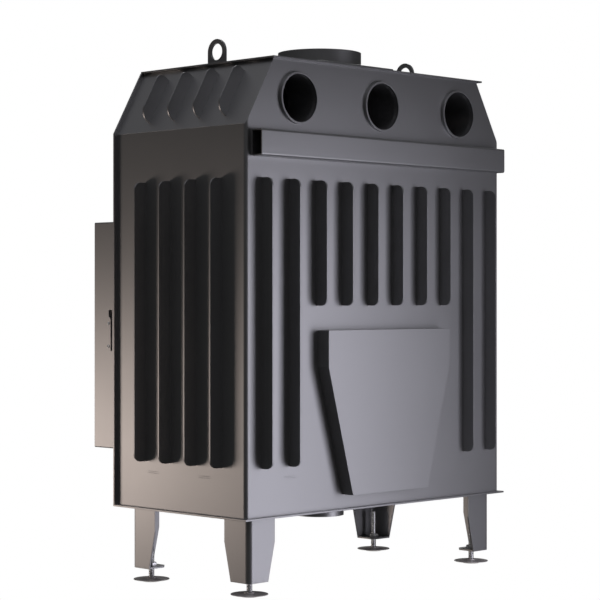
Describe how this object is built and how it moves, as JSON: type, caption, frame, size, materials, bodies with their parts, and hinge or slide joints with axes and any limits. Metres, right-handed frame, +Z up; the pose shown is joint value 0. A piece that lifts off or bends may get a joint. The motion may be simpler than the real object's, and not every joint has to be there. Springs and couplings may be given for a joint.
{
  "type": "wood-burning fireplace insert",
  "caption": "Free-standing steel fireplace insert with finned walls, sloped hood, flue collar, rear hot-air outlets, hinged glass door, ash pan, air lever and levelling feet.",
  "frame": {"origin": "on the floor, under the middle of the overall width and depth", "axes": "+X to the right for someone who faces the door, -Y towards the door, +Z up"},
  "size_m": [0.97, 0.621, 1.2965],
  "materials": {
    "grey_paint": "satin dark grey heat-proof paint",
    "black_steel": "satin black",
    "bright_steel": "zinc-plated",
    "cast_iron": "matt black stove paint",
    "ceramic_glass": "clear",
    "firebox_board": "rough pressed board",
    "glass_fibre_rope": "knitted rope"
  },
  "bodies": {
    "insert": {"base_plate": "grey_paint", "body_shell": "grey_paint", "hood_plate_left": "grey_paint", "hood_plate_right": "grey_paint", "top_plate": "grey_paint", "front_plate": "grey_paint", "rear_fins_long": "grey_paint", "rear_fins_short": "grey_paint", "side_fins_left": "grey_paint", "side_fins_right": "grey_paint", "hood_fins_left": "grey_paint", "hood_fins_right": "grey_paint", "rear_beam": "grey_paint", "air_channel_cover": "grey_paint", "hot_air_collars": "grey_paint", "flue_seat": "grey_paint", "flue_collar": "grey_paint", "smoke_duct": "grey_paint", "lifting_eyes": "grey_paint", "outside_air_spigot": "grey_paint", "leg_front_left": "grey_paint", "leg_front_right": "grey_paint", "leg_rear_left": "grey_paint", "leg_rear_right": "grey_paint", "leg_foot_plates": "grey_paint", "leg_nuts": "bright_steel", "door_surround": "grey_paint", "hook_slot_block": "grey_paint", "slot_screws": "bright_steel", "door_seat": "grey_paint", "front_apron": "grey_paint", "hinge_pins": "bright_steel", "floor_plate": "grey_paint", "hearth_plate": "grey_paint", "hearth_slab": "firebox_board", "side_lining_left": "firebox_board", "side_lining_right": "firebox_board", "back_lining": "firebox_board", "baffle": "firebox_board", "firebox_ceiling": "grey_paint", "pan_runners": "grey_paint"},
    "door": {"door_frame": "cast_iron", "door_glass": "ceramic_glass", "glass_gasket": "glass_fibre_rope", "glass_clips": "bright_steel", "door_gasket": "glass_fibre_rope"},
    "handle": {"door_handle": "bright_steel", "latch_tongue": "bright_steel"},
    "air_control": {"air_lever": "bright_steel", "air_shutter": "grey_paint"},
    "grate": {"grate": "cast_iron"},
    "ash_pan": {"ash_pan": "grey_paint"},
    "foot_front_left": {"foot_disc_front_left": "black_steel", "foot_rod_front_left": "bright_steel"},
    "foot_front_right": {"foot_disc_front_right": "black_steel", "foot_rod_front_right": "bright_steel"},
    "foot_rear_left": {"foot_disc_rear_left": "black_steel", "foot_rod_rear_left": "bright_steel"},
    "foot_rear_right": {"foot_disc_rear_right": "black_steel", "foot_rod_rear_right": "bright_steel"}
  },
  "joints": [
    {"name": "door_hinge", "type": "hinge", "parent": "insert", "child": "door", "pos_m": [-0.425, -0.2635, 0.6155], "axis": [0, 0, -1], "range_deg": [0, 100]},
    {"name": "handle_turn", "type": "hinge", "parent": "door", "child": "handle", "pos_m": [0.388, -0.2505, 0.612], "axis": [0, -1, 0], "range_deg": [0, 90]},
    {"name": "air_slide", "type": "slide", "parent": "insert", "child": "air_control", "axis": [1, 0, 0], "range_m": [0, 0.03]},
    {"name": "grate_lift", "type": "slide", "parent": "insert", "child": "grate", "axis": [0, 0, 1], "range_m": [0, 0.15]},
    {"name": "pan_slide", "type": "slide", "parent": "insert", "child": "ash_pan", "axis": [0, -1, 0], "range_m": [0, 0.28]},
    {"name": "foot_front_left_screw", "type": "slide", "parent": "insert", "child": "foot_front_left", "axis": [0, 0, 1], "range_m": [-0.04, 0.02]},
    {"name": "foot_front_right_screw", "type": "slide", "parent": "insert", "child": "foot_front_right", "axis": [0, 0, 1], "range_m": [-0.04, 0.02]},
    {"name": "foot_rear_left_screw", "type": "slide", "parent": "insert", "child": "foot_rear_left", "axis": [0, 0, 1], "range_m": [-0.04, 0.02]},
    {"name": "foot_rear_right_screw", "type": "slide", "parent": "insert", "child": "foot_rear_right", "axis": [0, 0, 1], "range_m": [-0.04, 0.02]}
  ]
}
